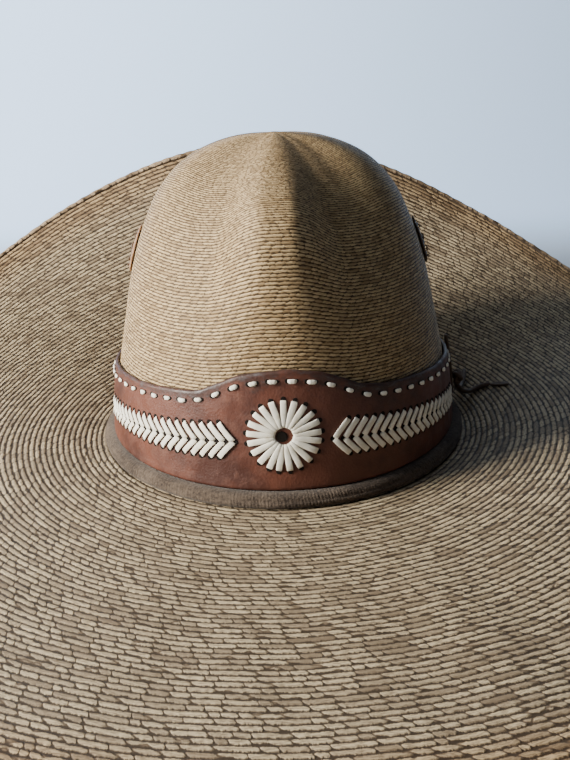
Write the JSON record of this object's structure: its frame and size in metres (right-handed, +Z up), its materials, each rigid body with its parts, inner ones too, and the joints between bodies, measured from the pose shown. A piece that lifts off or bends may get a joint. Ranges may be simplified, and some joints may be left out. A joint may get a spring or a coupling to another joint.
{
  "type": "sombrero",
  "caption": "Wide-brimmed palm-straw hat with a tall dented crown, a brim swept up at the back and a laced leather band that lifts off.",
  "frame": {"origin": "middle of the head opening, level with the flat underside ring that the hat rests on", "axes": "+Z up through the crown, -Y towards the front of the hat, +X to the right in a front view"},
  "size_m": [0.5279, 0.5111, 0.1541],
  "materials": {
    "crown_straw": "fine plaited palm, golden tan",
    "brim_straw": "coarser plaited palm, grey taupe",
    "rim_straw": "folded palm row, rust-tinged",
    "ribbed_ribbon": "finely cross-ribbed cloth roll",
    "band_leather": "worn red-brown leather",
    "ivory_thong": "smooth ivory flat thong",
    "dark_leather": "dark brown leather",
    "lining_leather": "thin tan lining leather",
    "thread": "waxed thread",
    "bow_ribbon": "fine ribbon"
  },
  "bodies": {
    "hat": {"crown": "crown_straw", "brim": "brim_straw", "brim_rim": "rim_straw", "base_roll": "ribbed_ribbon", "left_vent_patch": "dark_leather", "right_vent_patch": "dark_leather", "left_patch_lacing": "dark_leather", "right_patch_lacing": "dark_leather", "sweatband": "lining_leather", "sweatband_stitching": "thread", "sweatband_bow": "bow_ribbon"},
    "band": {"hat_band": "band_leather", "edge_lacing": "ivory_thong", "left_chevron_lacing": "ivory_thong", "right_chevron_lacing": "ivory_thong", "front_rosette": "ivory_thong", "band_tie_strap": "dark_leather", "band_tie_knot": "dark_leather", "long_tie_tail": "dark_leather", "tail_tip": "dark_leather", "short_tie_tail": "dark_leather"}
  },
  "joints": [
    {"name": "band_lift", "type": "slide", "parent": "hat", "child": "band", "axis": [0, 0, 1], "range_m": [0, 0.165]}
  ]
}
